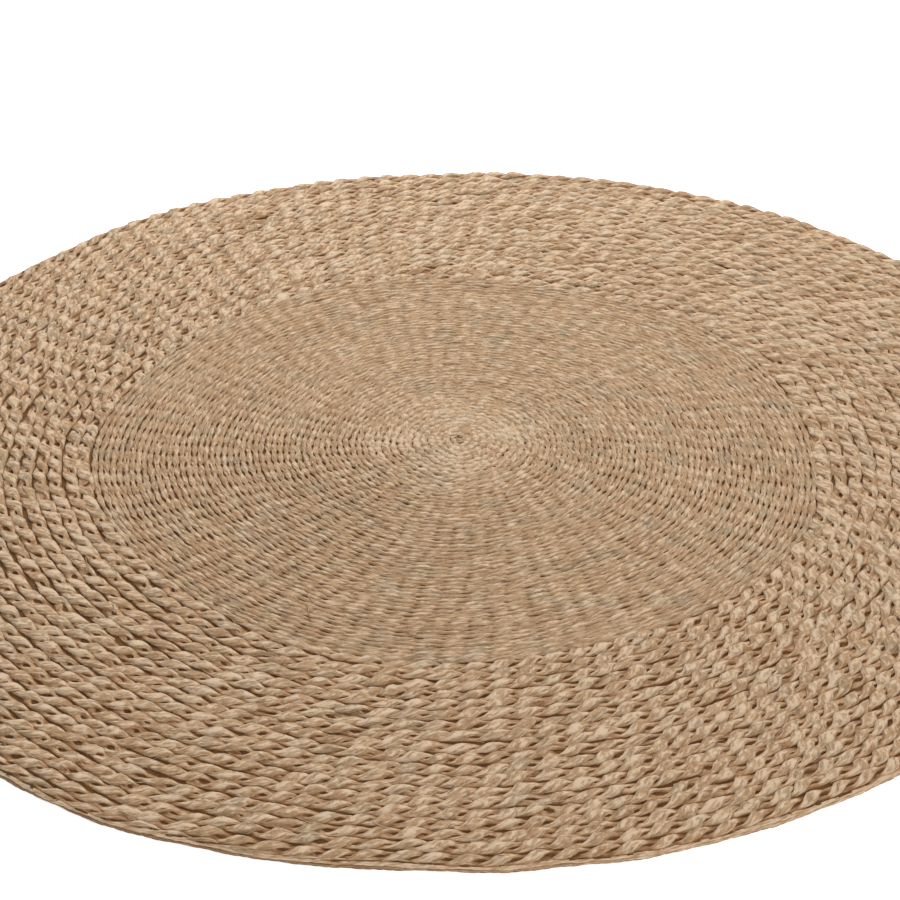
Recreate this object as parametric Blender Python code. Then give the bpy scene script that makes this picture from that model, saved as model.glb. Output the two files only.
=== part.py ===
"""Round grass floor rug, woven in one piece: a fine flat centre and a coarse ribbed border.

Metres, +Z up. The origin is the middle of the underside, which lies flat on the floor.
The whole rug is one closed solid: a profile of radius and height that is carried round,
a little uneven, as hand weaving is. Each coarse round of the border is a raised rib, and
the last round ends in two thin strands that run along the edge.
"""

import math
from collections import namedtuple

import bmesh
import bpy

# Driving dimensions of the rug
RUG_RADIUS = 0.750
CENTRE_SHARE = 0.566
COARSE_ROUNDS = 19
COLUMNS = 80

# The weaving starts here, a little off the middle of the outline
START_X = 0.002
START_Y = 0.021

# Heights above the floor
START_HEIGHT = 0.0092
CENTRE_HEIGHT = 0.0080
RIB_CREST_HEIGHT = 0.0114
RIB_GROOVE_HEIGHT = 0.0076

# The fine centre carries no ribs: shares of its radius at which its top is shaped
CENTRE_STEPS = (0.06, 0.20, 0.45, 0.75)
START_REACH = 0.20

# One rib across its round, from the inner side to the groove that ends it
RibPoint = namedtuple("RibPoint", "share rise")
RIB_PROFILE = (
    RibPoint(share=0.28, rise=1.0),
    RibPoint(share=0.72, rise=1.0),
    RibPoint(share=1.00, rise=0.0),
)

# The edge beyond the last groove: how far in from the rim, and how high
EdgePoint = namedtuple("EdgePoint", "inset height")
EDGE_WIDTH = 0.0050
EDGE_PROFILE = (
    EdgePoint(inset=0.0026, height=0.0090),
    EdgePoint(inset=0.0004, height=0.0072),
    EdgePoint(inset=0.0012, height=0.0050),
    EdgePoint(inset=0.0000, height=0.0032),
    EdgePoint(inset=0.0008, height=0.0012),
    EdgePoint(inset=0.0040, height=0.0000),
)

# Unevenness that goes round the rug: each wave has a whole number of lobes
Wave = namedtuple("Wave", "lobes reach turned")
CENTRE_WAVES = (
    Wave(lobes=2, reach=0.0062, turned=-45.0),
    Wave(lobes=5, reach=0.0045, turned=40.0),
)
RIB_WAVES = (
    Wave(lobes=3, reach=0.0005, turned=15.0),
    Wave(lobes=8, reach=0.0004, turned=60.0),
)
RIB_TURN = 47.0

# Places where the rim strays from a circle: azimuth, how far out, and half width in degrees
Stray = namedtuple("Stray", "azimuth reach spread")
RIM_STRAYS = (
    Stray(azimuth=75.0, reach=0.0030, spread=8.0),
    Stray(azimuth=92.0, reach=-0.0035, spread=5.0),
    Stray(azimuth=122.0, reach=0.0050, spread=8.0),
    Stray(azimuth=139.0, reach=-0.0055, spread=9.0),
    Stray(azimuth=170.0, reach=0.0025, spread=9.0),
    Stray(azimuth=205.0, reach=-0.0020, spread=9.0),
    Stray(azimuth=242.0, reach=0.0050, spread=6.0),
    Stray(azimuth=265.0, reach=-0.0045, spread=5.0),
    Stray(azimuth=284.0, reach=0.0020, spread=6.0),
    Stray(azimuth=330.0, reach=-0.0030, spread=9.0),
)

# The end of the last round is tucked under and swells the rim a little there
TUCK = Stray(azimuth=274.0, reach=0.0035, spread=2.5)

GRASS_COLOUR = (0.46, 0.31, 0.195, 1.0)
GRASS_ROUGHNESS = 0.72
SHARP_EDGE_ANGLE = 50.0


def clear_scene():
    for item in list(bpy.context.scene.objects):
        bpy.data.objects.remove(item, do_unlink=True)


def sway(waves, azimuth, turned=0.0):
    """Sum of the waves at an azimuth in degrees, each with its own lobes, reach and turn."""
    return sum(
        wave.reach * math.cos(math.radians(wave.lobes * (azimuth - wave.turned - turned)))
        for wave in waves
    )


def stray(places, azimuth):
    """Sum of the bell-shaped swellings and hollows that stand near an azimuth."""
    total = 0.0
    for place in places:
        away = (azimuth - place.azimuth + 180.0) % 360.0 - 180.0
        total += place.reach * math.exp(-((away / place.spread) ** 2))
    return total


def around(azimuth, radius):
    """Point of the floor plan at an azimuth in degrees and a radius."""
    return radius * math.cos(math.radians(azimuth)), radius * math.sin(math.radians(azimuth))


def rim_radius(azimuth):
    """Radius of the rug's outer edge."""
    return RUG_RADIUS + stray(RIM_STRAYS + (TUCK,), azimuth)


def centre_radius(azimuth):
    """Radius at which the fine centre gives way to the coarse border."""
    return RUG_RADIUS * CENTRE_SHARE + sway(CENTRE_WAVES, azimuth)


def column_azimuths():
    return [360.0 * column / COLUMNS for column in range(COLUMNS)]


def outline_middle():
    """Middle of the box round the uneven outline, which is brought to the origin."""
    rim = [around(azimuth, rim_radius(azimuth)) for azimuth in column_azimuths()]
    sides = list(zip(*rim))
    return tuple((min(side) + max(side)) / 2.0 for side in sides)


def centre_profile(azimuth):
    """Top of the fine centre: slightly thicker where the spokes meet at its start."""
    edge_x, edge_y = around(azimuth, centre_radius(azimuth))
    points = []
    for share in CENTRE_STEPS + (1.0,):
        fade = max(0.0, 1.0 - share / START_REACH)
        points.append((
            START_X + share * (edge_x - START_X),
            START_Y + share * (edge_y - START_Y),
            CENTRE_HEIGHT + (START_HEIGHT - CENTRE_HEIGHT) * fade,
        ))
    return points


def border_profile(azimuth):
    """Top of the coarse border: one rib and the groove after it for each round of weft."""
    inner = centre_radius(azimuth)
    outer = rim_radius(azimuth) - EDGE_WIDTH
    width = (outer - inner) / COARSE_ROUNDS
    points = []
    for number in range(COARSE_ROUNDS):
        lift = sway(RIB_WAVES, azimuth, turned=number * RIB_TURN)
        crest = RIB_CREST_HEIGHT + lift
        for point in RIB_PROFILE:
            height = RIB_GROOVE_HEIGHT + point.rise * (crest - RIB_GROOVE_HEIGHT)
            radius = inner + (number + point.share) * width
            points.append((*around(azimuth, radius), height))
    return points


def edge_profile(azimuth):
    """Outer edge: an upper and a lower strand, and then the underside's border."""
    rim = rim_radius(azimuth)
    return [(*around(azimuth, rim - point.inset), point.height) for point in EDGE_PROFILE]


def build_mesh(name):
    """Carry the profile round the middle and close it with one flat underside."""
    shape = bmesh.new()
    start = shape.verts.new((START_X, START_Y, START_HEIGHT))
    columns = []
    for azimuth in column_azimuths():
        profile = centre_profile(azimuth) + border_profile(azimuth) + edge_profile(azimuth)
        columns.append([shape.verts.new(point) for point in profile])
    for column in range(COLUMNS):
        here = columns[column]
        after = columns[(column + 1) % COLUMNS]
        shape.faces.new((start, here[0], after[0]))
        for step in range(len(here) - 1):
            shape.faces.new((here[step], here[step + 1], after[step + 1], after[step]))
    shape.faces.new([column[-1] for column in reversed(columns)])
    middle_x, middle_y = outline_middle()
    bmesh.ops.translate(shape, verts=shape.verts, vec=(-middle_x, -middle_y, 0.0))
    mesh = bpy.data.meshes.new(name)
    shape.to_mesh(mesh)
    shape.free()
    return mesh


def grass_material():
    material = bpy.data.materials.new("twisted_grass")
    material.use_nodes = True
    finish = material.node_tree.nodes["Principled BSDF"]
    finish.inputs["Base Color"].default_value = GRASS_COLOUR
    finish.inputs["Roughness"].default_value = GRASS_ROUGHNESS
    finish.inputs["Metallic"].default_value = 0.0
    return material


def build_rug():
    mesh = build_mesh("woven_rug")
    mesh.materials.append(grass_material())
    mesh.shade_smooth()
    mesh.set_sharp_from_angle(angle=math.radians(SHARP_EDGE_ANGLE))
    rug = bpy.data.objects.new("woven_rug", mesh)
    bpy.context.scene.collection.objects.link(rug)
    return rug


clear_scene()
build_rug()
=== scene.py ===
"""Looks of the round grass rug: a pair of weft strands twined over radial spokes.

Metres, +Z up. The rug lies on the floor with the middle of its underside at the origin.
The weft runs counter-clockwise from the middle to the rim: fine rounds, then coarse ones.
"""

import math
from collections import namedtuple

import bpy
import numpy as np
from mathutils import Matrix, Vector


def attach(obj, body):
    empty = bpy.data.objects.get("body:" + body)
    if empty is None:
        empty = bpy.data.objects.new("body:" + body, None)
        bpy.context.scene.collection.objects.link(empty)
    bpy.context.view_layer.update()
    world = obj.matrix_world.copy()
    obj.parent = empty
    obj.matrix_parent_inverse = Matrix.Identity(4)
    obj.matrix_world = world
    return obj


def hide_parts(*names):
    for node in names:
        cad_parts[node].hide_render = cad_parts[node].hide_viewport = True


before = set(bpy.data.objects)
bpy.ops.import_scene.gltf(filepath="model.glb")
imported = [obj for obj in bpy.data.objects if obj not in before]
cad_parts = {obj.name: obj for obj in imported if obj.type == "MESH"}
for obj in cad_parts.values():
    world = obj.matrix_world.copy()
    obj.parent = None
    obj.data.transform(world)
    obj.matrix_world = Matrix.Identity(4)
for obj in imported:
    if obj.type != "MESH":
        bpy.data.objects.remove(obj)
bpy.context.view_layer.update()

# Driving dimensions, as the solid has them
RUG_RADIUS = 0.750
CENTRE_SHARE = 0.566
START_X = 0.002
START_Y = 0.021
START_HEIGHT = 0.0092
CENTRE_HEIGHT = 0.0080
BORDER_HEIGHT = 0.0114
RIM_MARGIN = 0.0020
SOLID_COLUMNS = 80

# Unevenness of the plan: waves have lobes, strays stand at one azimuth in degrees
Wave = namedtuple("Wave", "lobes reach turned")
CENTRE_WAVES = (
    Wave(lobes=2, reach=0.0062, turned=-45.0),
    Wave(lobes=5, reach=0.0045, turned=40.0),
)
Stray = namedtuple("Stray", "azimuth reach spread")
RIM_STRAYS = (
    Stray(azimuth=75.0, reach=0.0030, spread=8.0),
    Stray(azimuth=92.0, reach=-0.0035, spread=5.0),
    Stray(azimuth=122.0, reach=0.0050, spread=8.0),
    Stray(azimuth=139.0, reach=-0.0055, spread=9.0),
    Stray(azimuth=170.0, reach=0.0025, spread=9.0),
    Stray(azimuth=205.0, reach=-0.0020, spread=9.0),
    Stray(azimuth=242.0, reach=0.0050, spread=6.0),
    Stray(azimuth=265.0, reach=-0.0045, spread=5.0),
    Stray(azimuth=284.0, reach=0.0020, spread=6.0),
    Stray(azimuth=330.0, reach=-0.0030, spread=9.0),
    Stray(azimuth=274.0, reach=0.0035, spread=2.5),
)

# The weave is drawn in a little beside its tucked end
DRAWN_IN = (Stray(azimuth=275.5, reach=-0.0040, spread=3.5),)

# Rounds of weft, counted from the middle, and the share of the fine centre that the opening fills
OPENING_ROUNDS = 11
OPENING_SHARE = 0.23
FINE_ROUNDS = 57
COARSE_ROUNDS = 19
ALL_ROUNDS = FINE_ROUNDS + COARSE_ROUNDS

# Course of the weft: its end, its step from round to round, and its first and last steps
END_AZIMUTH = 274.0
STEP_SHARE = 0.15
FIRST_ROUND = 0.15
FIRST_PITCH = 1.4
LAST_STEP = 0.3
COURSE_STEPS = 1200
COURSE_SLACK = 1e-6

# Rounds before and after the border's start between which the weave thickens
THICKENING_BEFORE = 4.0
THICKENING_AFTER = 1.5

# Sideways drift of the rounds: reach in round widths, and each sine's turning from round to round
Drift = namedtuple("Drift", "lobes reach turning start")
ROUND_DRIFTS = (
    Drift(lobes=5.0, reach=0.07, turning=0.31, start=0.0),
    Drift(lobes=11.0, reach=0.06, turning=-0.47, start=1.0),
    Drift(lobes=23.0, reach=0.05, turning=0.71, start=2.0),
)

# Spokes under each round: how many have begun by a share of the rug's radius
Count = namedtuple("Count", "share spokes")
SPOKE_COUNTS = (
    Count(share=0.000, spokes=8),
    Count(share=0.020, spokes=14),
    Count(share=0.050, spokes=28),
    Count(share=0.130, spokes=42),
    Count(share=0.200, spokes=56),
    Count(share=0.280, spokes=66),
    Count(share=0.360, spokes=76),
    Count(share=0.430, spokes=90),
    Count(share=0.500, spokes=96),
    Count(share=0.566, spokes=100),
    Count(share=0.650, spokes=106),
    Count(share=0.720, spokes=116),
    Count(share=0.800, spokes=134),
    Count(share=0.880, spokes=148),
)
SPOKE_LEAN = 0.15
SPOKE_SPREAD = 3.0
GOLDEN_ANGLE = 137.508

# A pair of strands, by shares of the round's width and of the weave's thickness. The higher its
# fullness, the longer a strand keeps its full width where it crosses a spoke
Twine = namedtuple("Twine", "swing crest_width side_width fullness lift crest_depth side_depth")
FINE_TWINE = Twine(
    swing=0.15, crest_width=0.75, side_width=0.22, fullness=2.4, lift=0.07, crest_depth=0.42,
    side_depth=0.42,
)
COARSE_TWINE = Twine(
    swing=0.30, crest_width=0.61, side_width=0.250, fullness=1.7, lift=0.145, crest_depth=0.355,
    side_depth=0.315,
)

# Strands are narrower and thinner on the rug's loose side and wider at its middle, by such shares
LOOSE_CREST = 0.13
LOOSE_SIDE = 0.065
LOOSE_DEPTH = 0.040
LOOSE_AZIMUTH = 232.0
OPENING_SIDE = 0.08

# In the last round strands are narrower and calmer, and dip more where they pass each other
RIM_NARROWING = 0.10
RIM_DIP = 0.08
RIM_CALM = 0.7

# What is left of the strands' depth where the weft is tucked in at its end, and of the height from
# which painted shade is counted there
TUCKED_DEPTH = 0.3
TUCKED_TOP = 0.5

# Cords of several plies: how deep the grooves between them are, and the length of one twist
Cord = namedtuple("Cord", "plies groove twist_length")
FINE_CORD = Cord(plies=3, groove=0.05, twist_length=0.250)
COARSE_CORD = Cord(plies=4, groove=0.12, twist_length=0.150)
EDGE_CORD = Cord(plies=3, groove=0.06, twist_length=0.060)
BLADE_CORD = Cord(plies=2, groove=0.30, twist_length=0.050)

# Power of the sine and cosine in a section and in a strand's rise: 1 is round and less is squarer
SQUARENESS = 0.55

# Least heights above the floor of any point and of a strand's own underside
FLOOR_CLEARANCE = 0.0002
STRAND_CLEARANCE = 0.0001

# How far one stitch may differ from the next
WIDTH_SCATTER = 0.13
DRIFT_SCATTER = 0.085
HEIGHT_SCATTER = 0.045
TIMING_SCATTER = 0.09
SEED = 41

# A blade of grass spans a run of stitches, which share part of their tone
TONE_RUN = 7
OWN_TONE = 0.5
SHARED_TONE = 0.35

# Turns at which the weft is divided into pieces, and the steps that draw one stitch
FINE_PARTS = (0.0, 31.0, 46.0, float(FINE_ROUNDS))
FINE_STEPS = 4
COARSE_PARTS = (float(FINE_ROUNDS), 62.5, 67.5, 71.8, float(ALL_ROUNDS))
COARSE_STEPS = 6

# Keeps a logarithm and a sign from meeting nought
TINY = 1e-9


def smooth(share):
    """Rises from 0 to 1 with level ends: three squares less two cubes of a clipped share."""
    share = np.clip(share, 0.0, 1.0)
    return share * share * (3.0 - 2.0 * share)


def blend(first, second, share):
    """A share of the way from the first value to the second."""
    return first + (second - first) * share


def unit(vectors):
    """Each row of the array, brought to a length of 1."""
    return vectors / np.linalg.norm(vectors, axis=-1, keepdims=True)


def sway(waves, azimuth):
    """Sum of cosines of the azimuth times each wave's lobes."""
    return sum(
        wave.reach * np.cos(np.radians(wave.lobes * (azimuth - wave.turned)))
        for wave in waves
    )


def stray(places, azimuth):
    """Sum of bell curves of the angle to each place."""
    total = np.zeros_like(azimuth)
    for place in places:
        away = (azimuth - place.azimuth + 180.0) % 360.0 - 180.0
        total = total + place.reach * np.exp(-((away / place.spread) ** 2))
    return total


def around(azimuth, radius):
    """Plan point at an azimuth in degrees and a radius, as a row of two numbers."""
    turned = np.radians(azimuth)
    return np.stack([radius * np.cos(turned), radius * np.sin(turned)], axis=-1)


def rim_radius(azimuth):
    """Radius of the rug's outer edge."""
    return RUG_RADIUS + stray(RIM_STRAYS, azimuth)


def centre_radius(azimuth):
    """Radius at which the fine centre gives way to the coarse border."""
    return RUG_RADIUS * CENTRE_SHARE + sway(CENTRE_WAVES, azimuth)


def outline_middle():
    """Middle of the box round the solid's columns, which the solid brings to the origin."""
    azimuth = np.arange(SOLID_COLUMNS) * 360.0 / SOLID_COLUMNS
    rim = around(azimuth, rim_radius(azimuth))
    return (rim.min(axis=0) + rim.max(axis=0)) / 2.0


MIDDLE = outline_middle()
START = np.array([START_X, START_Y])


def plan_point(azimuth, place):
    """Plan point at an azimuth: place 0 is the start, 1 the coarse border's inner edge, 2 the rim.

    Within the centre it is a share of the way from the start to the centre's own edge, and
    beyond it a share of the way from that edge to the rim.
    """
    inner = centre_radius(azimuth)
    outer = rim_radius(azimuth) + stray(DRAWN_IN, azimuth) - RIM_MARGIN
    centre_share = np.clip(place, 0.0, 1.0)[..., None]
    border_share = np.clip(place - 1.0, 0.0, None)
    centre = START + centre_share * (around(azimuth, inner) - START)
    return centre + around(azimuth, border_share * (outer - inner)) - MIDDLE


def round_place(number):
    """Place of a round on the plan, by its number counted from the middle."""
    numbers = (0.0, OPENING_ROUNDS, FINE_ROUNDS, ALL_ROUNDS)
    return np.interp(number, numbers, (0.0, OPENING_SHARE, 1.0, 2.0))


def round_number(turn):
    """Round that the weft is in: it starts in the middle and steps out late in every turn."""
    whole = np.floor(turn)
    late = smooth((turn - whole - (1.0 - STEP_SHARE)) / STEP_SHARE)
    number = np.minimum(whole + 0.5 + late, ALL_ROUNDS - 0.5 + LAST_STEP * late)
    return np.minimum(number, FIRST_ROUND + FIRST_PITCH * turn)


def round_width(number):
    """Width of a round: each zone's width shared out over its rounds, blended between zones."""
    centre = RUG_RADIUS * CENTRE_SHARE
    opening = centre * OPENING_SHARE / OPENING_ROUNDS
    fine = centre * (1.0 - OPENING_SHARE) / (FINE_ROUNDS - OPENING_ROUNDS)
    coarse = (RUG_RADIUS - RIM_MARGIN - centre) / COARSE_ROUNDS
    numbers = (OPENING_ROUNDS, OPENING_ROUNDS + 1, FINE_ROUNDS - 0.5, FINE_ROUNDS + 0.5)
    return np.interp(number, numbers, (opening, fine, fine, coarse))


def weave_thickness(number):
    """Thickness of the weave: most in the coarse border, and a little more at the start."""
    thin = FINE_ROUNDS - THICKENING_BEFORE
    thick = FINE_ROUNDS + THICKENING_AFTER
    heights = (START_HEIGHT, CENTRE_HEIGHT, CENTRE_HEIGHT, BORDER_HEIGHT)
    return np.interp(number, (0.0, OPENING_ROUNDS, thin, thick), heights)


def opening_share(number):
    """1 in the inner half of the opening's rounds, falling to 0 by half as many beyond its end."""
    return 1.0 - smooth(number / OPENING_ROUNDS - 0.5)


def coarse_share(number):
    """0 in the fine rounds, rising to 1 over the step out to the coarse ones."""
    return smooth(number - FINE_ROUNDS + 0.5)


def last_share(number):
    """0 up to the last round but one, rising to 1 over the step out to the last."""
    return smooth(number - ALL_ROUNDS + 1.5)


def wander(azimuth, number):
    """Sideways drift of the rounds, in round widths: sines that change slowly outwards."""
    turned = np.radians(azimuth)
    return sum(
        drift.reach * np.sin(drift.lobes * turned + drift.turning * number + drift.start)
        for drift in ROUND_DRIFTS
    )


def weft_azimuth(turn):
    """Azimuth of the weft after so many turns. It ends at END_AZIMUTH, and so it starts there."""
    return END_AZIMUTH + 360.0 * turn


def weft_plan(turn):
    """Plan point of the weft's own middle line after so many turns."""
    azimuth = weft_azimuth(turn)
    number = round_number(turn)
    return plan_point(azimuth, round_place(number + wander(azimuth, number)))


def weft_outward(turn):
    """Level direction across the weft: its way over a short step, turned by a right angle."""
    nudge = 0.5 / COURSE_STEPS
    before = weft_plan(turn - nudge)
    after = weft_plan(np.minimum(turn + nudge, ALL_ROUNDS - COURSE_SLACK))
    ahead = unit(after - before)
    return np.stack([ahead[:, 1], -ahead[:, 0]], axis=1)


def weft_ending(turn):
    """1 along the weft, and falling to 0 over the last part of its last turn."""
    return 1.0 - smooth((turn - ALL_ROUNDS + STEP_SHARE) / STEP_SHARE)


def spoke_starts():
    """Azimuth and round number at which each added spoke begins: a golden angle apart."""
    shares = [count.share for count in SPOKE_COUNTS]
    counts = [count.spokes for count in SPOKE_COUNTS]
    rounds = np.arange(ALL_ROUNDS + 1)
    ray = plan_point(np.zeros(rounds.size), round_place(rounds))
    reach = np.linalg.norm(ray - ray[0], axis=1)
    order = np.arange(counts[0], counts[-1])
    share = np.interp(order + 0.5, counts, shares)
    number = np.round(np.interp(share, reach / RUG_RADIUS, rounds))
    return GOLDEN_ANGLE * order, np.maximum(number, 1.0)


def stretched(point):
    """Plan points as complex numbers whose radius is raised to a power, about the start."""
    away = point - (START - MIDDLE)
    value = (away[..., 0] + 1j * away[..., 1]) / RUG_RADIUS
    return value * np.abs(value) ** (SPOKE_SPREAD - 1.0)


def spoke_phase(point):
    """Spokes passed at a plan point, but for whole numbers.

    Each spoke adds the angle under which the point sees the place where that spoke begins,
    so one more stitch fits into every round beyond it, and its distance's logarithm, which
    makes all the columns of stitches lean.
    """
    here = stretched(point)
    lean = SPOKE_LEAN / SPOKE_SPREAD
    first = SPOKE_COUNTS[0].spokes
    total = first * (np.angle(here) + lean * np.log(np.abs(here) + TINY))
    for azimuth, number in zip(*spoke_starts()):
        there = stretched(plan_point(np.array([azimuth]), round_place(np.array([number]))))
        apart = here - there
        total = total + np.angle(apart) + lean * np.log(np.abs(apart) + TINY)
    return total / math.tau


def stitch_course():
    """Turns and the stitches made by then, along the whole weft, counted without jumps."""
    turn = np.arange(ALL_ROUNDS * COURSE_STEPS + 1) / COURSE_STEPS
    turn[-1] -= COURSE_SLACK
    phase = np.unwrap(spoke_phase(weft_plan(turn)) * math.tau) / math.tau
    return turn, phase - phase[0]


COURSE_TURNS, COURSE_STITCHES = stitch_course()
START_PHASE = spoke_phase(weft_plan(np.zeros(1)))[0]
HALF_TURNS = int(COURSE_STITCHES[-1]) + 3
chance = np.random.default_rng(SEED)


def per_stitch(amount):
    """A seeded amount for each half turn of both strands."""
    return chance.normal(0.0, amount, (2, HALF_TURNS))


def in_runs(values):
    """Values blended over runs of stitches, because a blade of grass spans several of them."""
    window = np.hanning(TONE_RUN + 2)[1:-1]
    runs = np.stack([np.convolve(row, window, mode="same") for row in values])
    return OWN_TONE * values + SHARED_TONE * runs / np.linalg.norm(window)


STITCH_WIDTH = per_stitch(WIDTH_SCATTER)
STITCH_DRIFT = per_stitch(DRIFT_SCATTER)
STITCH_HEIGHT = per_stitch(HEIGHT_SCATTER)
STITCH_TIMING = per_stitch(TIMING_SCATTER)
STITCH_TONE = in_runs(per_stitch(1.0))
STITCH_WARMTH = in_runs(per_stitch(1.0))


def along_strand(values, strand, stitch):
    """Values of one strand read off between its half turns."""
    return np.interp(stitch, np.arange(HALF_TURNS) + 0.5, values[strand])


def squared(value):
    """A sine or cosine raised to the section's power, with its own sign."""
    return np.sign(value) * np.abs(value) ** SQUARENESS


def looseness(turn):
    """1 on the rug's loose side and 0 opposite: a raised cosine of the azimuth."""
    return 0.5 + 0.5 * np.cos(np.radians(weft_azimuth(turn) - LOOSE_AZIMUTH))


def twine_shape(turn):
    """Shape of the twine along the weft, by its zone, its side of the rug and its last round."""
    number = round_number(turn)
    coarse = coarse_share(number)
    loose = looseness(turn)
    last = last_share(number)
    shape = Twine(*(blend(fine, rough, coarse) for fine, rough in zip(FINE_TWINE, COARSE_TWINE)))
    return shape._replace(
        crest_width=shape.crest_width - LOOSE_CREST * loose ** 2 - RIM_NARROWING * last,
        side_width=shape.side_width - LOOSE_SIDE * loose + OPENING_SIDE * opening_share(number),
        side_depth=shape.side_depth - LOOSE_DEPTH * loose * coarse - RIM_DIP * last,
    )


def strand_line(strand, stitch):
    """Middle line of a strand, the level way across it, and its half width and half depth.

    The two strands turn about the weft's middle line by half a turn a stitch: out and in by
    the cosine of that angle, up and down by its sine. A strand is wide where it crosses over
    or under a spoke, and narrow where it passes its partner: its share of the narrow shape
    is the cosine's size, raised to the fullness. It narrows to nothing at the weft's end.
    """
    turn = np.interp(stitch, COURSE_STITCHES, COURSE_TURNS)
    number = round_number(turn)
    width = round_width(number)
    thickness = weave_thickness(number)
    shape = twine_shape(turn)
    lively = 1.0 - RIM_CALM * last_share(number)
    ending = weft_ending(turn)
    angle = math.pi * (stitch + strand + along_strand(STITCH_TIMING, strand, stitch))
    over = 1.0 - np.abs(np.cos(angle)) ** shape.fullness
    plump = 1.0 + lively * along_strand(STITCH_WIDTH, strand, stitch)
    half_width = width * blend(shape.side_width, shape.crest_width, over) * plump * ending
    half_depth = thickness * blend(shape.side_depth, shape.crest_depth, over)
    half_depth = half_depth * blend(TUCKED_DEPTH, 1.0, ending)
    drift = shape.swing * np.cos(angle) + lively * along_strand(STITCH_DRIFT, strand, stitch)
    level = 0.5 + shape.lift * squared(np.sin(angle))
    level = level + over * along_strand(STITCH_HEIGHT, strand, stitch)
    outward = weft_outward(turn)
    plan = weft_plan(turn) + outward * (drift * width * ending)[:, None]
    height = np.maximum(level * thickness, half_depth + STRAND_CLEARANCE)
    side = np.column_stack([outward, np.zeros(stitch.size)])
    return np.column_stack([plan, height]), side, half_width, half_depth


Tube = namedtuple("Tube", "points fibre swell")


def make_tube(line, side, half_width, half_depth, cord):
    """Tube round a line, with each point's place along and across its fibre, and its swell.

    The section is an ellipse squared off by a power of the cosine and the sine. Its corners
    are the crests of the plies and the grooves between them in turn, and they all move round
    it together, once in each twist length. What would go below the floor is pressed flat.
    """
    sides = 2 * cord.plies
    ahead = unit(np.gradient(line, axis=0))
    across = unit(side - ahead * np.sum(side * ahead, axis=1, keepdims=True))
    upward = np.cross(across, ahead)
    upward = upward * np.sign(upward[:, 2:3] + TINY)
    steps = np.linalg.norm(np.diff(line, axis=0), axis=1)
    length = np.concatenate([[0.0], np.cumsum(steps)])[:, None]
    corner = np.arange(sides) * math.tau / sides
    turned = corner + length * math.tau / cord.twist_length
    swell = np.broadcast_to(1.0 - cord.groove * (np.arange(sides) % 2), turned.shape)
    sideways = half_width[:, None] * squared(np.cos(turned)) * swell
    upwards = half_depth[:, None] * squared(np.sin(turned)) * swell
    points = line[:, None, :] + across[:, None, :] * sideways[..., None]
    points = points + upward[:, None, :] * upwards[..., None]
    points[..., 2] = np.maximum(points[..., 2], FLOOR_CLEARANCE)
    girth = (half_width + half_depth)[:, None] / 2.0
    along = np.broadcast_to(length, turned.shape)
    fibre = np.stack([along, girth * np.cos(corner), girth * np.sin(corner)], axis=-1)
    return Tube(points, fibre, swell)


def ring_faces(rings, sides, first):
    """Four-cornered faces between neighbouring rings of points, numbered from the first."""
    ring, corner = np.meshgrid(np.arange(rings - 1), np.arange(sides), indexing="ij")
    here = first + ring * sides + corner
    after = first + ring * sides + (corner + 1) % sides
    return np.stack([here, here + sides, after + sides, after], axis=-1).reshape(-1, 4)


def fan_faces(pole, sides, first, flipped=False):
    """Three-cornered faces from a pole to the ring of points that is numbered from the first."""
    here = first + np.arange(sides)
    after = first + (np.arange(sides) + 1) % sides
    if flipped:
        here, after = after, here
    return np.stack([np.full(sides, pole), here, after], axis=-1)


class Strands:
    """Tubes gathered for one piece, with what each of their points passes to the finish."""

    def __init__(self):
        self.points = []
        self.facts = {"fibre": [], "tone": [], "warmth": [], "swell": [], "sink": []}
        self.walls = []
        self.fans = []
        self.count = 0

    def add(self, tube, offset, tone, warmth, top):
        """Adds a tube and a pole at each of its ends.

        The offset is where its pattern starts along the fibre. Tone and warmth have a number
        for each ring, and top is the weave's height there, from which a point's sink is counted.
        """
        steps, sides = tube.points.shape[:2]
        ends = [0, -1]
        fibre = tube.fibre + np.array([offset, 0.0, 0.0])
        # Sink is how far a point lies below the top; the finish darkens deep points with painted
        # shade
        sink = 1.0 - tube.points[..., 2] / np.broadcast_to(top, steps)[:, None]
        self.points += [tube.points.reshape(-1, 3), tube.points[ends].mean(axis=1)]
        self.facts["fibre"] += [fibre.reshape(-1, 3), fibre[ends].mean(axis=1)]
        self.facts["tone"] += [np.repeat(tone, sides), tone[ends]]
        self.facts["warmth"] += [np.repeat(warmth, sides), warmth[ends]]
        self.facts["swell"] += [tube.swell.ravel(), np.ones(2)]
        self.facts["sink"] += [sink.ravel(), sink[ends].mean(axis=1)]
        last = self.count + (steps - 1) * sides
        pole = self.count + steps * sides
        self.walls.append(ring_faces(steps, sides, self.count))
        self.fans.append(fan_faces(pole, sides, self.count))
        self.fans.append(fan_faces(pole + 1, sides, last, flipped=True))
        self.count = pole + 2

    def piece(self, name, material):
        """One mesh object of all the tubes."""
        facts = {fact: np.concatenate(parts) for fact, parts in self.facts.items()}
        points = np.concatenate(self.points)
        walls = np.concatenate(self.walls)
        return make_piece(name, points, walls, np.concatenate(self.fans), material, **facts)


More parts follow.
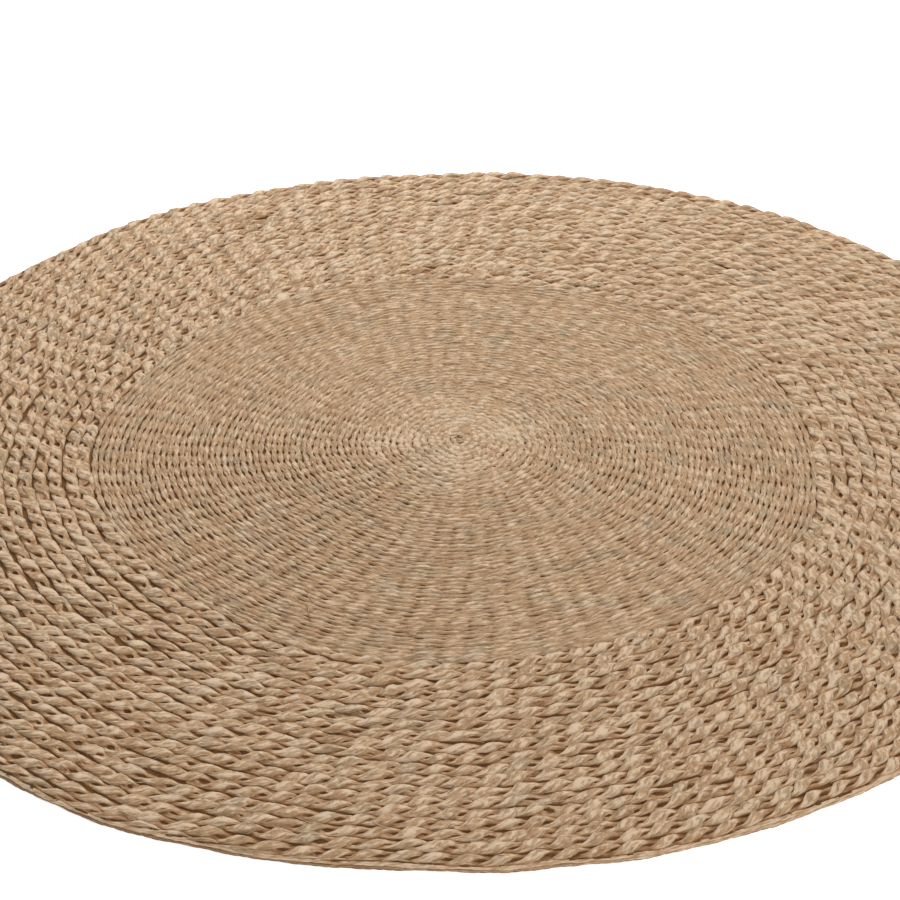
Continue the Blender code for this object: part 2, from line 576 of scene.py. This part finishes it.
def make_piece(name, points, walls, fans, material, **facts):
    """A mesh object at the origin from arrays of points and of faces, with named point values."""
    mesh = bpy.data.meshes.new(name)
    corners = np.concatenate([walls.ravel(), fans.ravel()]).astype(np.int32)
    sizes = np.concatenate([np.full(len(walls), 4), np.full(len(fans), 3)]).astype(np.int32)
    mesh.vertices.add(len(points))
    mesh.vertices.foreach_set("co", points.astype(np.float32).ravel())
    mesh.loops.add(len(corners))
    mesh.loops.foreach_set("vertex_index", corners)
    mesh.polygons.add(len(sizes))
    mesh.polygons.foreach_set("loop_start", (np.cumsum(sizes) - sizes).astype(np.int32))
    mesh.update(calc_edges=True)
    mesh.validate()
    mesh.shade_smooth()
    for fact, values in facts.items():
        kind, field = ("FLOAT_VECTOR", "vector") if values.ndim == 2 else ("FLOAT", "value")
        layer = mesh.attributes.new(fact, kind, "POINT")
        layer.data.foreach_set(field, values.astype(np.float32).ravel())
    mesh.materials.append(material)
    piece = bpy.data.objects.new(name, mesh)
    bpy.context.scene.collection.objects.link(piece)
    return piece


class Value:
    """An output of a node. Sums and products add Math nodes."""

    def __init__(self, finish, output):
        self.finish = finish
        self.output = output

    def maths(self, operation, first, second):
        return self.finish.node("ShaderNodeMath", {"operation": operation}, {0: first, 1: second})

    def __add__(self, other):
        return self.maths("ADD", self, other)

    def __radd__(self, other):
        return self.maths("ADD", other, self)

    def __mul__(self, other):
        return self.maths("MULTIPLY", self, other)

    def __rmul__(self, other):
        return self.maths("MULTIPLY", other, self)


class Finish:
    """A material's nodes. All but its shader and its output come from node()."""

    def __init__(self, name):
        self.material = bpy.data.materials.new(name)
        self.material.use_nodes = True
        self.tree = self.material.node_tree
        self.surface = self.tree.nodes["Principled BSDF"].inputs

    def node(self, kind, settings, sockets, output=0):
        """Adds a node, sets its settings, fills its sockets and gives one of its outputs."""
        made = self.tree.nodes.new(kind)
        for setting, value in settings.items():
            setattr(made, setting, value)
        for socket, value in sockets.items():
            self.fill(made.inputs[socket], value)
        return Value(self, made.outputs[output])

    def fill(self, socket, value):
        """Links a value to a socket, or sets the socket's own number or colour."""
        if isinstance(value, Value):
            self.tree.links.new(value.output, socket)
        else:
            socket.default_value = value

    def fact(self, name, output="Fac"):
        """A named value of the piece's own points."""
        return self.node("ShaderNodeAttribute", {"attribute_name": name}, {}, output)

    def place(self):
        """Place in the object's own coordinates."""
        return self.node("ShaderNodeTexCoord", {}, {}, "Object")

    def ramp(self, value, ramp):
        """0 up to the ramp's start, its share from its full end on, and straight between."""
        sockets = {
            "Value": value,
            "From Min": ramp.start,
            "From Max": ramp.full,
            "To Max": ramp.share,
        }
        return self.node("ShaderNodeMapRange", {"clamp": True}, sockets)

    def mix(self, share, first, second, blend_type="MIX"):
        """Colour between two colours by a share."""
        settings = {"data_type": "RGBA", "blend_type": blend_type}
        return self.node("ShaderNodeMix", settings, {0: share, 6: first, 7: second}, 2)

    def noise(self, place, scale, detail, roughness=0.5):
        """Even noise of about 0 to 1, finer with its scale."""
        sockets = {"Vector": place, "Scale": scale, "Detail": detail, "Roughness": roughness}
        return self.node("ShaderNodeTexNoise", {}, sockets)

    def drawn_out(self, place, scale):
        """A place multiplied by a scale of its own on each axis."""
        sockets = {"Vector": place, "Scale": scale}
        return self.node("ShaderNodeMapping", {"vector_type": "POINT"}, sockets)


# Colours of the blades, and painted shade: for grooves, and to multiply them deep in the weave
STRAW = (0.475, 0.311, 0.175, 1.0)
PALE_STRAW = (0.63, 0.479, 0.331, 1.0)
RUST = (0.44, 0.258, 0.138, 1.0)
GREY_GREEN = (0.40, 0.31, 0.20, 1.0)
SHADED_BLADE = (0.20, 0.106, 0.047, 1.0)
WARM_SHADE = (0.86, 0.65, 0.44, 1.0)
DEEP_SHADE = (0.43, 0.36, 0.29, 1.0)

# Patterns to a metre: streaks and blades along, across and round a strand, and patches
STREAK_SCALE = (190.0, 850.0, 850.0)
STREAK_GRAIN = 0.65
BLADE_SCALE = (70.0, 360.0, 360.0)
PATCH_SCALE = 30.0

# Where each colour starts and is full, and its share there
Ramp = namedtuple("Ramp", "start full share")
RUST_RAMP = Ramp(start=0.52, full=0.74, share=0.75)
GREY_RAMP = Ramp(start=0.48, full=0.28, share=0.75)
PALE_RAMP = Ramp(start=0.47, full=0.59, share=0.80)
DARK_RAMP = Ramp(start=1.46, full=1.24, share=0.80)
# Painted shade, by how far a point sinks below the weave's top
WARM_SINK_RAMP = Ramp(start=0.22, full=0.42, share=1.0)
DEEP_SINK_RAMP = Ramp(start=0.29, full=0.42, share=1.0)

# How far a stitch's own warmth and tone move those patterns
WARMTH_PULL = 0.05
PALE_PULL = 0.04
DARK_PULL = 0.03

# Dry grass is rough, and a little more so in its streaks
GRASS_ROUGHNESS = 0.66
STREAK_ROUGHENING = 0.2
GRASS_GLOSS = 0.22
BUMP_DISTANCE = 0.0012


def grass_finish(name):
    """Dry twisted blades: streaks along the fibres, painted shade in the grooves and deep in the
    weave, and pale and rusty stretches.
    """
    finish = Finish(name)
    fibre = finish.fact("fibre", "Vector")
    tone = finish.fact("tone")
    warmth = finish.fact("warmth")
    sink = finish.fact("sink")
    streaks = finish.drawn_out(fibre, STREAK_SCALE)
    streaks = finish.noise(streaks, scale=1.0, detail=2.0, roughness=STREAK_GRAIN)
    blades = finish.noise(finish.drawn_out(fibre, BLADE_SCALE), scale=1.0, detail=1.0)
    patches = finish.noise(finish.place(), PATCH_SCALE, detail=2.0) + warmth * WARMTH_PULL
    # Painted shade in the grooves between plies, mixed with the blades' own dark streaks and each
    # stitch's tone
    grooves = streaks * 0.5 + blades * 0.5 + tone * DARK_PULL + finish.fact("swell")
    colour = finish.mix(finish.ramp(patches, RUST_RAMP), STRAW, RUST)
    colour = finish.mix(finish.ramp(patches, GREY_RAMP), colour, GREY_GREEN)
    colour = finish.mix(finish.ramp(blades + tone * PALE_PULL, PALE_RAMP), colour, PALE_STRAW)
    colour = finish.mix(finish.ramp(grooves, DARK_RAMP), colour, SHADED_BLADE)
    # Painted shade: darker and warmer the deeper a point sinks below the weave's top
    colour = finish.mix(finish.ramp(sink, WARM_SINK_RAMP), colour, WARM_SHADE, "MULTIPLY")
    colour = finish.mix(finish.ramp(sink, DEEP_SINK_RAMP), colour, DEEP_SHADE, "MULTIPLY")
    bump = {"Strength": 1.0, "Distance": BUMP_DISTANCE, "Height": streaks + blades}
    finish.fill(finish.surface["Base Color"], colour)
    finish.fill(finish.surface["Roughness"], GRASS_ROUGHNESS + streaks * STREAK_ROUGHENING)
    finish.fill(finish.surface["Specular IOR Level"], GRASS_GLOSS)
    finish.fill(finish.surface["Normal"], finish.node("ShaderNodeBump", {}, bump))
    return finish.material


# Painted shade: the spokes are coloured far darker than the blades, as the shade deep in the weave
DARK_SPOKE = (0.06, 0.027, 0.009, 1.0)
PALE_SPOKE = (0.19, 0.092, 0.034, 1.0)
SPOKE_GRAIN_SCALE = 300.0
SPOKE_ROUGHNESS = 0.9
SPOKE_GLOSS = 0.1


def spoke_finish(name):
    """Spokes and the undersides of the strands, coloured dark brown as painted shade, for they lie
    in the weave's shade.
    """
    finish = Finish(name)
    grain = finish.noise(finish.place(), SPOKE_GRAIN_SCALE, detail=2.0)
    finish.fill(finish.surface["Base Color"], finish.mix(grain, DARK_SPOKE, PALE_SPOKE))
    finish.fill(finish.surface["Roughness"], SPOKE_ROUGHNESS)
    finish.fill(finish.surface["Specular IOR Level"], SPOKE_GLOSS)
    return finish.material


# Tones of the weave: the opening is paler and cooler in places, its patches at left and right
# being painted sheen, and the centre calmer and duller
OPENING_PALENESS = 1.2
OPENING_PATCHES_AND_SHEEN = (
    Stray(azimuth=15.0, reach=1.6, spread=22.0),
    Stray(azimuth=96.0, reach=0.6, spread=24.0),
    Stray(azimuth=176.0, reach=2.2, spread=20.0),
    Stray(azimuth=262.0, reach=2.2, spread=30.0),
)
OPENING_COOLNESS = 0.4
FINE_CALM = 0.85
FINE_DULLNESS = 1.5

# The second strand's pattern starts so much further along its fibre
STRAND_OFFSET = 7.0


def stitch_range(first_turn, last_turn, steps):
    """Stitch counts from one turn to another, evenly spaced, so many to a stitch."""
    low, high = np.interp([first_turn, last_turn], COURSE_TURNS, COURSE_STITCHES) * steps
    return np.arange(math.floor(low), math.ceil(high) + 1) / steps


def weft_piece(name, first_turn, last_turn, steps, cord, material):
    """Both strands of the weft from one turn to another, as one piece."""
    stitch = stitch_range(first_turn, last_turn, steps)
    turn = np.interp(stitch, COURSE_STITCHES, COURSE_TURNS)
    number = round_number(turn)
    coarse = coarse_share(number)
    # Pale patches of the opening: those at its left and right are painted sheen
    patches = stray(OPENING_PATCHES_AND_SHEEN, weft_azimuth(turn))
    paleness = opening_share(number) * (OPENING_PALENESS + patches)
    calm = blend(FINE_CALM, 1.0, coarse)
    dullness = FINE_DULLNESS * (1.0 - coarse)
    # Height from which painted shade is counted, lower at the tucked end so its strands are shaded
    # less
    top = weave_thickness(number) * blend(TUCKED_TOP, 1.0, weft_ending(turn))
    gathered = Strands()
    for strand in range(2):
        tube = make_tube(*strand_line(strand, stitch), cord)
        tone = calm * along_strand(STITCH_TONE, strand, stitch) + paleness - dullness
        warmth = along_strand(STITCH_WARMTH, strand, stitch) - OPENING_COOLNESS * paleness
        gathered.add(tube, strand * STRAND_OFFSET + first_turn, tone, warmth, top)
    return gathered.piece(name, material)


def weft_pieces(name, parts, steps, cord, material):
    """The weft between each two of the parts' turns, as a piece of its own."""
    return [
        weft_piece(f"{name}_{order + 1}", parts[order], parts[order + 1], steps, cord, material)
        for order in range(len(parts) - 1)
    ]


# Spokes inside the weave, by shares of its thickness
CORE_COLUMNS = 420
CORE_RINGS = 30
CORE_FIRST_ROUND = 0.4
CORE_BOTTOM = 0.30
CORE_TOP = 0.48
SPOKE_RISE = 0.12


def core_piece(name, material):
    """Spokes inside the weave, as one sheet with a rounded ridge over each spoke.

    Rings follow the rounds' places and columns the azimuth. The upper face rises by the
    square of the sine of half the turn between spokes, and the lower face falls by as much.
    """
    azimuth = np.arange(CORE_COLUMNS) * 360.0 / CORE_COLUMNS
    number = np.linspace(CORE_FIRST_ROUND, ALL_ROUNDS, CORE_RINGS)
    azimuth, number = (grid.ravel() for grid in np.meshgrid(azimuth, number))
    place = plan_point(azimuth, round_place(number))
    rise = np.sin(math.pi * (spoke_phase(place) - START_PHASE)) ** 2 * SPOKE_RISE
    thickness = weave_thickness(number)
    upper = np.column_stack([place, (CORE_TOP + rise) * thickness])
    lower = np.column_stack([place, (CORE_BOTTOM - rise) * thickness])
    middle = place[:CORE_COLUMNS].mean(axis=0)
    poles = np.array([
        [*middle, CORE_TOP * START_HEIGHT],
        [*middle, CORE_BOTTOM * START_HEIGHT],
    ])
    size = len(place)
    last = size - CORE_COLUMNS
    top = ring_faces(CORE_RINGS, CORE_COLUMNS, 0)
    here = last + np.arange(CORE_COLUMNS)
    after = last + (np.arange(CORE_COLUMNS) + 1) % CORE_COLUMNS
    rim = np.stack([here, here + size, after + size, after], axis=-1)
    fans = [
        fan_faces(2 * size, CORE_COLUMNS, 0),
        fan_faces(2 * size + 1, CORE_COLUMNS, size, flipped=True),
    ]
    points = np.concatenate([upper, lower, poles])
    walls = np.concatenate([top, top[:, ::-1] + size, rim])
    return make_piece(name, points, walls, np.concatenate(fans), material)


# Two thin cords lie along the rim, and the lower one carries painted shadow on the near left side
Edging = namedtuple("Edging", "name inset height half_width half_depth shade")
EDGINGS = (
    Edging(
        name="edge_cord_upper", inset=0.0026, height=0.0052,
        half_width=0.0020, half_depth=0.0017, shade=0.0,
    ),
    Edging(
        name="edge_cord_lower", inset=0.0024, height=0.0019,
        half_width=0.0021, half_depth=0.0017, shade=-11.0,
    ),
)
EDGE_SHADE_AZIMUTH = 240.0
EDGE_SHADE_SPREAD = 36.0
EDGE_TONE = 1.4
EDGE_WARMTH = 1.5
EDGE_OFFSET = 30.0

# Course of an edge cord: it overlaps its own start, it wanders sideways and up, and its height
# and its warmth lag behind by so many steps
EDGE_STEPS = 1400
EDGE_OVERLAP = 1.01
EDGE_SIDEWAYS = 0.0010
EDGE_UPWARDS = 0.0005
EDGE_HEIGHT_LAG = 28
EDGE_WARMTH_LAG = 155

# Sines that make an edge cord uneven, each turned for the second cord
Ripple = namedtuple("Ripple", "lobes reach turned")
EDGE_RIPPLES = (
    Ripple(lobes=140.0, reach=0.40, turned=1.0),
    Ripple(lobes=61.0, reach=0.35, turned=2.0),
    Ripple(lobes=23.0, reach=0.25, turned=3.0),
)
GIRTH_RIPPLES = (Ripple(lobes=37.0, reach=0.20, turned=1.0),)


def rippled(ripples, turned, order):
    """Sum of sines of the azimuth times each ripple's lobes."""
    return sum(
        ripple.reach * np.sin(ripple.lobes * turned + ripple.turned * order)
        for ripple in ripples
    )


def edge_piece(edging, order, material):
    """A thin cord along the rim: an ellipse carried round, a little in and out and up and down."""
    share = np.linspace(0.0, EDGE_OVERLAP, EDGE_STEPS)
    azimuth = weft_azimuth(share)
    turned = np.radians(azimuth)
    ripple = rippled(EDGE_RIPPLES, turned, order)
    radius = rim_radius(azimuth) + stray(DRAWN_IN, azimuth) - edging.inset + EDGE_SIDEWAYS * ripple
    height = edging.height + EDGE_UPWARDS * np.roll(ripple, EDGE_HEIGHT_LAG)
    height = np.maximum(height, edging.half_depth)
    line = np.column_stack([around(azimuth, radius) - MIDDLE, height])
    side = np.column_stack([around(azimuth, 1.0), np.zeros(share.size)])
    girth = 1.0 + rippled(GIRTH_RIPPLES, turned, order)
    tube = make_tube(line, side, girth * edging.half_width, girth * edging.half_depth, EDGE_CORD)
    # Painted shadow on the lower cord's near left side: a dark line along the floor
    shade = (Stray(azimuth=EDGE_SHADE_AZIMUTH, reach=edging.shade, spread=EDGE_SHADE_SPREAD),)
    tone = EDGE_TONE + ripple + stray(shade, azimuth)
    warmth = EDGE_WARMTH + np.roll(ripple, EDGE_WARMTH_LAG)
    gathered = Strands()
    # Sink is counted from the cord's own height, so the part below it gets painted shade, darkest
    # along the floor
    gathered.add(tube, EDGE_OFFSET + order, tone, warmth, edging.height)
    return gathered.piece(edging.name, material)


# Loose ends of blades: their number, and the two numbers that crowd them towards the rim
BLADES = 900
BLADE_STEPS = 6
BLADE_CROWDING = (2.6, 1.2)
BLADE_RIM_GAP = 0.6

# Least and most of a blade's sizes, and how far its way may turn, in radians
BLADE_LENGTHS = (0.010, 0.034)
BLADE_RISES = (0.0004, 0.0022)
BLADE_HALF_WIDTHS = (0.00035, 0.00070)
BLADE_HEADING_SCATTER = 0.30
BLADE_BEND_SCATTER = 0.10

# How deep a blade lies below the weave's top before it rises, and by shares: how far its ends
# drop by its rise, how much they narrow, and its depth by its width
BLADE_SINK = 0.0004
BLADE_DROP = 1.6
BLADE_TAPER = 0.6
BLADE_FLATNESS = 0.6

# Tone of the loose blades, and how far apart their patterns start along the fibre
BLADE_TONE = 2.2
BLADE_TONE_SCATTER = 0.8
BLADE_WARMTH = -0.4
BLADE_OFFSET = 0.37


def loose_blades(name, material):
    """Thin ends of blades that stand out of the weave, each a short flat arc over the stitches.

    A blade lies at a seeded place, runs along the rounds with a small seeded turn, and rises
    between its two ends by a parabola of its length.
    """
    number = ALL_ROUNDS * chance.beta(*BLADE_CROWDING, BLADES)
    azimuth = chance.uniform(0.0, 360.0, BLADES)
    length = chance.uniform(*BLADE_LENGTHS, BLADES)
    heading = chance.normal(0.0, BLADE_HEADING_SCATTER, BLADES)
    bend = chance.normal(0.0, BLADE_BEND_SCATTER, BLADES)
    rise = chance.uniform(*BLADE_RISES, BLADES)
    half_width = chance.uniform(*BLADE_HALF_WIDTHS, BLADES)
    middle = plan_point(azimuth, round_place(np.minimum(number, ALL_ROUNDS - BLADE_RIM_GAP)))
    ground = weave_thickness(number) - BLADE_SINK
    tone = BLADE_TONE + BLADE_TONE_SCATTER * bend / BLADE_BEND_SCATTER
    share = np.linspace(-1.0, 1.0, BLADE_STEPS)
    gathered = Strands()
    for blade in range(BLADES):
        way = math.radians(azimuth[blade]) + math.pi / 2.0 + heading[blade] + bend[blade] * share
        along = length[blade] / 2.0 * share
        line = np.column_stack([
            middle[blade, 0] + along * np.cos(way),
            middle[blade, 1] + along * np.sin(way),
            ground[blade] + rise[blade] * (1.0 - BLADE_DROP * share ** 2),
        ])
        side = np.column_stack([-np.sin(way), np.cos(way), np.zeros(BLADE_STEPS)])
        taper = half_width[blade] * (1.0 - BLADE_TAPER * share ** 2)
        tube = make_tube(line, side, taper, BLADE_FLATNESS * taper, BLADE_CORD)
        tones = np.full(BLADE_STEPS, tone[blade])
        warmth = np.full(BLADE_STEPS, BLADE_WARMTH)
        gathered.add(tube, BLADE_OFFSET * blade, tones, warmth, BORDER_HEIGHT)
    return gathered.piece(name, material)


# Camera, as the photograph was taken
CAMERA_PLACE = (-0.00665, -2.61318, 1.61932)
CAMERA_PITCH = 31.681
CAMERA_ROLL = -0.962
CAMERA_LENS = 104.0
CAMERA_SENSOR = 36.0


def place_camera():
    """Camera at the photograph's height, distance, downward angle and slight roll."""
    data = bpy.data.cameras.new("camera")
    data.lens = CAMERA_LENS
    data.sensor_width = CAMERA_SENSOR
    camera = bpy.data.objects.new("camera", data)
    tilt = Matrix.Rotation(math.radians(90.0 - CAMERA_PITCH), 4, "X")
    roll = Matrix.Rotation(math.radians(CAMERA_ROLL), 4, "Z")
    camera.matrix_world = Matrix.Translation(CAMERA_PLACE) @ tilt @ roll
    bpy.context.scene.collection.objects.link(camera)
    bpy.context.scene.camera = camera


Lamp = namedtuple("Lamp", "name place size power")
LAMPS = (
    Lamp(name="back_light", place=(-0.2, 2.5, 2.2), size=1.8, power=93.0),
    Lamp(name="front_light", place=(1.9, -3.4, 3.6), size=3.0, power=149.0),
)
WHITE = (1.0, 1.0, 1.0, 1.0)
SURROUNDING_LIGHT = 0.42


def place_lights():
    """Soft panels that face the rug, and an even pale surrounding."""
    for lamp in LAMPS:
        data = bpy.data.lights.new(lamp.name, "AREA")
        data.size = lamp.size
        data.energy = lamp.power
        light = bpy.data.objects.new(lamp.name, data)
        light.location = lamp.place
        light.rotation_euler = Vector(lamp.place).to_track_quat("Z", "Y").to_euler()
        bpy.context.scene.collection.objects.link(light)
    world = bpy.data.worlds.new("studio")
    world.use_nodes = True
    background = world.node_tree.nodes["Background"]
    background.inputs["Color"].default_value = WHITE
    background.inputs["Strength"].default_value = SURROUNDING_LIGHT
    bpy.context.scene.world = world


FLOOR_HALF = 30.0
FLOOR_COLOUR = (0.92, 0.92, 0.92, 1.0)
FLOOR_ROUGHNESS = 0.9
FLOOR_GLOW = 0.45


def place_floor():
    """Plain pale floor that stays white beside the rug."""
    finish = Finish("pale_floor")
    finish.fill(finish.surface["Base Color"], FLOOR_COLOUR)
    finish.fill(finish.surface["Roughness"], FLOOR_ROUGHNESS)
    finish.fill(finish.surface["Emission Color"], WHITE)
    finish.fill(finish.surface["Emission Strength"], FLOOR_GLOW)
    corners = np.array([[-1.0, -1.0, 0.0], [1.0, -1.0, 0.0], [1.0, 1.0, 0.0], [-1.0, 1.0, 0.0]])
    walls = np.array([[0, 1, 2, 3]])
    fans = np.empty((0, 3), int)
    floor = make_piece("floor", FLOOR_HALF * corners, walls, fans, finish.material)


place_camera()
place_lights()
place_floor()
bpy.context.scene.view_settings.view_transform = "Standard"

grass = grass_finish("twisted_grass")
pieces = weft_pieces("fine_weft", FINE_PARTS, FINE_STEPS, FINE_CORD, grass)
pieces += weft_pieces("coarse_weft", COARSE_PARTS, COARSE_STEPS, COARSE_CORD, grass)
pieces += [edge_piece(edging, order, grass) for order, edging in enumerate(EDGINGS)]
pieces.append(loose_blades("loose_blades", grass))
core = core_piece("spoke_core", spoke_finish("shaded_spokes"))
for piece in [*pieces, core]:
    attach(piece, "root")
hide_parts("woven_rug")
